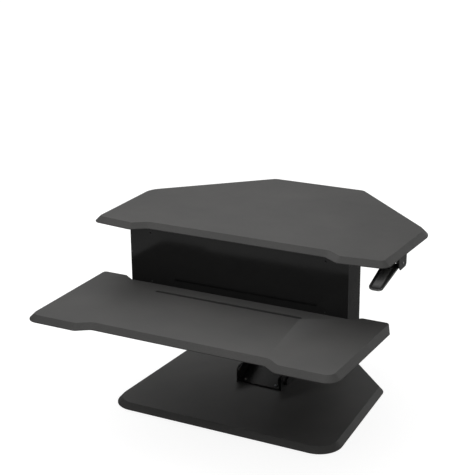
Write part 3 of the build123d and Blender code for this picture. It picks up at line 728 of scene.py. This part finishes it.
def tube_along(bm, points, radius, turns=12):
    """A round wire through points, with flat ends."""
    rings = []
    side = None
    for k, point in enumerate(points):
        ahead = points[min(k + 1, len(points) - 1)] - points[max(k - 1, 0)]
        ahead.normalize()
        if side is None:
            side = ahead.orthogonal().normalized()
        side = (side - ahead * side.dot(ahead)).normalized()
        other = ahead.cross(side)
        rings.append([bm.verts.new(point + radius * (math.cos(2 * math.pi * j / turns) * side
                                                     + math.sin(2 * math.pi * j / turns) * other))
                      for j in range(turns)])
    for one, two in zip(rings, rings[1:]):
        for j in range(turns):
            bm.faces.new([one[j], one[(j + 1) % turns], two[(j + 1) % turns], two[j]])
    bm.faces.new(rings[0])
    bm.faces.new(list(reversed(rings[-1])))


def make_lever_spring():
    """The torsion spring round the lever's pin, with a leg that runs back from its left end."""
    low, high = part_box("lever_spring")
    middle = (low + high) / 2
    coil = (high.z - low.z) / 2 - WIRE_R
    x0, x1 = low.x + WIRE_R, high.x - WIRE_R
    points = []
    for k in range(COIL_STEPS + 1):
        turn = math.pi / 2 + 2 * math.pi * COIL_TURNS * k / COIL_STEPS
        points.append(Vector((x0 + (x1 - x0) * k / COIL_STEPS, middle.y + coil * math.cos(turn),
                              middle.z + coil * math.sin(turn))))
    points.insert(0, points[0] + Vector(COIL_LEG))
    bm = bmesh.new()
    tube_along(bm, points, WIRE_R)
    finish_piece("lever_spring_coil", bm, "platform", "zinc_steel", ("lever_spring",), sharp=50)


def make_cable_ends():
    """A threaded adjuster with its nut where the cable enters the bracket."""
    _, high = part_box("release_cable")
    bracket_low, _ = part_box("lever_bracket")
    ends = [point for point in (vert.co for vert in NODES["release_cable"].data.vertices)
            if point.x > high.x - 0.2 * MM]
    middle = sum(ends, Vector()) / len(ends)
    place = Matrix.Translation((bracket_low.x, middle.y, middle.z)) @ facing((-1, 0, 0))
    bm = bmesh.new()
    nut = [(ADJUSTER_HOLE_R, 0.1 * MM), (ADJUSTER_NUT_R, 0.1 * MM), (ADJUSTER_NUT_R, ADJUSTER_NUT_END),
           (ADJUSTER_HOLE_R, ADJUSTER_NUT_END)]
    lathe(bm, nut, place, 6, closed=True)
    barrel = [(ADJUSTER_HOLE_R, 3.5 * MM)]
    for k in range(ADJUSTER_THREADS):
        barrel += [(ADJUSTER_CORE_R, (3.5 + k) * MM), (ADJUSTER_CREST_R, (4.0 + k) * MM)]
    barrel += [(ADJUSTER_CORE_R, 12 * MM), (ADJUSTER_CORE_R, 17 * MM), (2.9 * MM, ADJUSTER_END),
               (ADJUSTER_HOLE_R, ADJUSTER_END)]
    lathe(bm, barrel, place, 32, closed=True)
    finish_piece("release_cable_adjuster", bm, "platform", "zinc_steel", sharp=35)


# ---- everything ----

EDGES = {
    "base_pads": 0.5, "riser_bumpers": 1.0,
    "riser_front_panel": 0.35, "riser_side_left": 0.5, "riser_side_right": 0.5,
    "riser_lower_beam": 0.6, "riser_upper_beams": 0.6,
    "base_bracket_left": 0.6, "base_bracket_right": 0.6, "lower_arm": 0.6, "upper_arm": 0.6,
    "knee_plate_left": 0.5, "knee_plate_right": 0.5, "lower_links": 0.5, "upper_links": 0.5,
    "carriage_plate_left": 0.6, "carriage_plate_right": 0.6, "carriage_front_plate": 0.5,
    "tray_support_left": 0.6, "tray_support_right": 0.6, "top_rail_left": 0.6, "top_rail_right": 0.6,
    "spring_foot_brackets": 0.5, "lever_bracket": 0.7, "release_lever": 0.3, "release_head": 0.8,
    "cable_clips": 0.5, "release_cable": 0.2,
    "lower_pivot_pins": 0.4, "base_link_studs": 0.5, "lower_knee_pin": 0.5, "upper_knee_pin": 0.5,
    "knee_link_studs": 0.5, "carriage_pivot_pin": 0.5, "carriage_link_studs": 0.5, "carriage_bolts": 0.5,
    "spring_foot_pin": 0.5, "spring_head_pin": 0.5, "lever_pin": 0.4,
    "lower_gear_sectors": 0.2, "upper_gear_sectors": 0.2, "lower_arm_bushes": 0.15, "upper_arm_bushes": 0.15,
    "lower_arm_rivets": 0.2, "upper_arm_rivets": 0.2,
}


def make_converter():
    for node in ("top_board", "keyboard_tray", "base_board"):
        make_board(node)
    for node, width in EDGES.items():
        refine(node, width * MM)
    across = Vector((1, 0, 0))
    upper = arm_axis("platform_level", "upper_arm_turn")
    make_screws("base_bracket_screws", (0, 0, 1))
    make_screws("spring_foot_screws", across.cross(upper))
    for node in ("top_screws", "tray_screws", "lever_bracket_screws"):
        make_screws(node, (0, 0, -1))
    make_panel_screws("riser_panel_screws")
    make_gas_springs()
    make_lever_spring()
    make_cable_ends()


bpy.context.scene.view_settings.view_transform = "Standard"
make_camera()
make_floor()
make_sky()
make_lights()
make_converter()
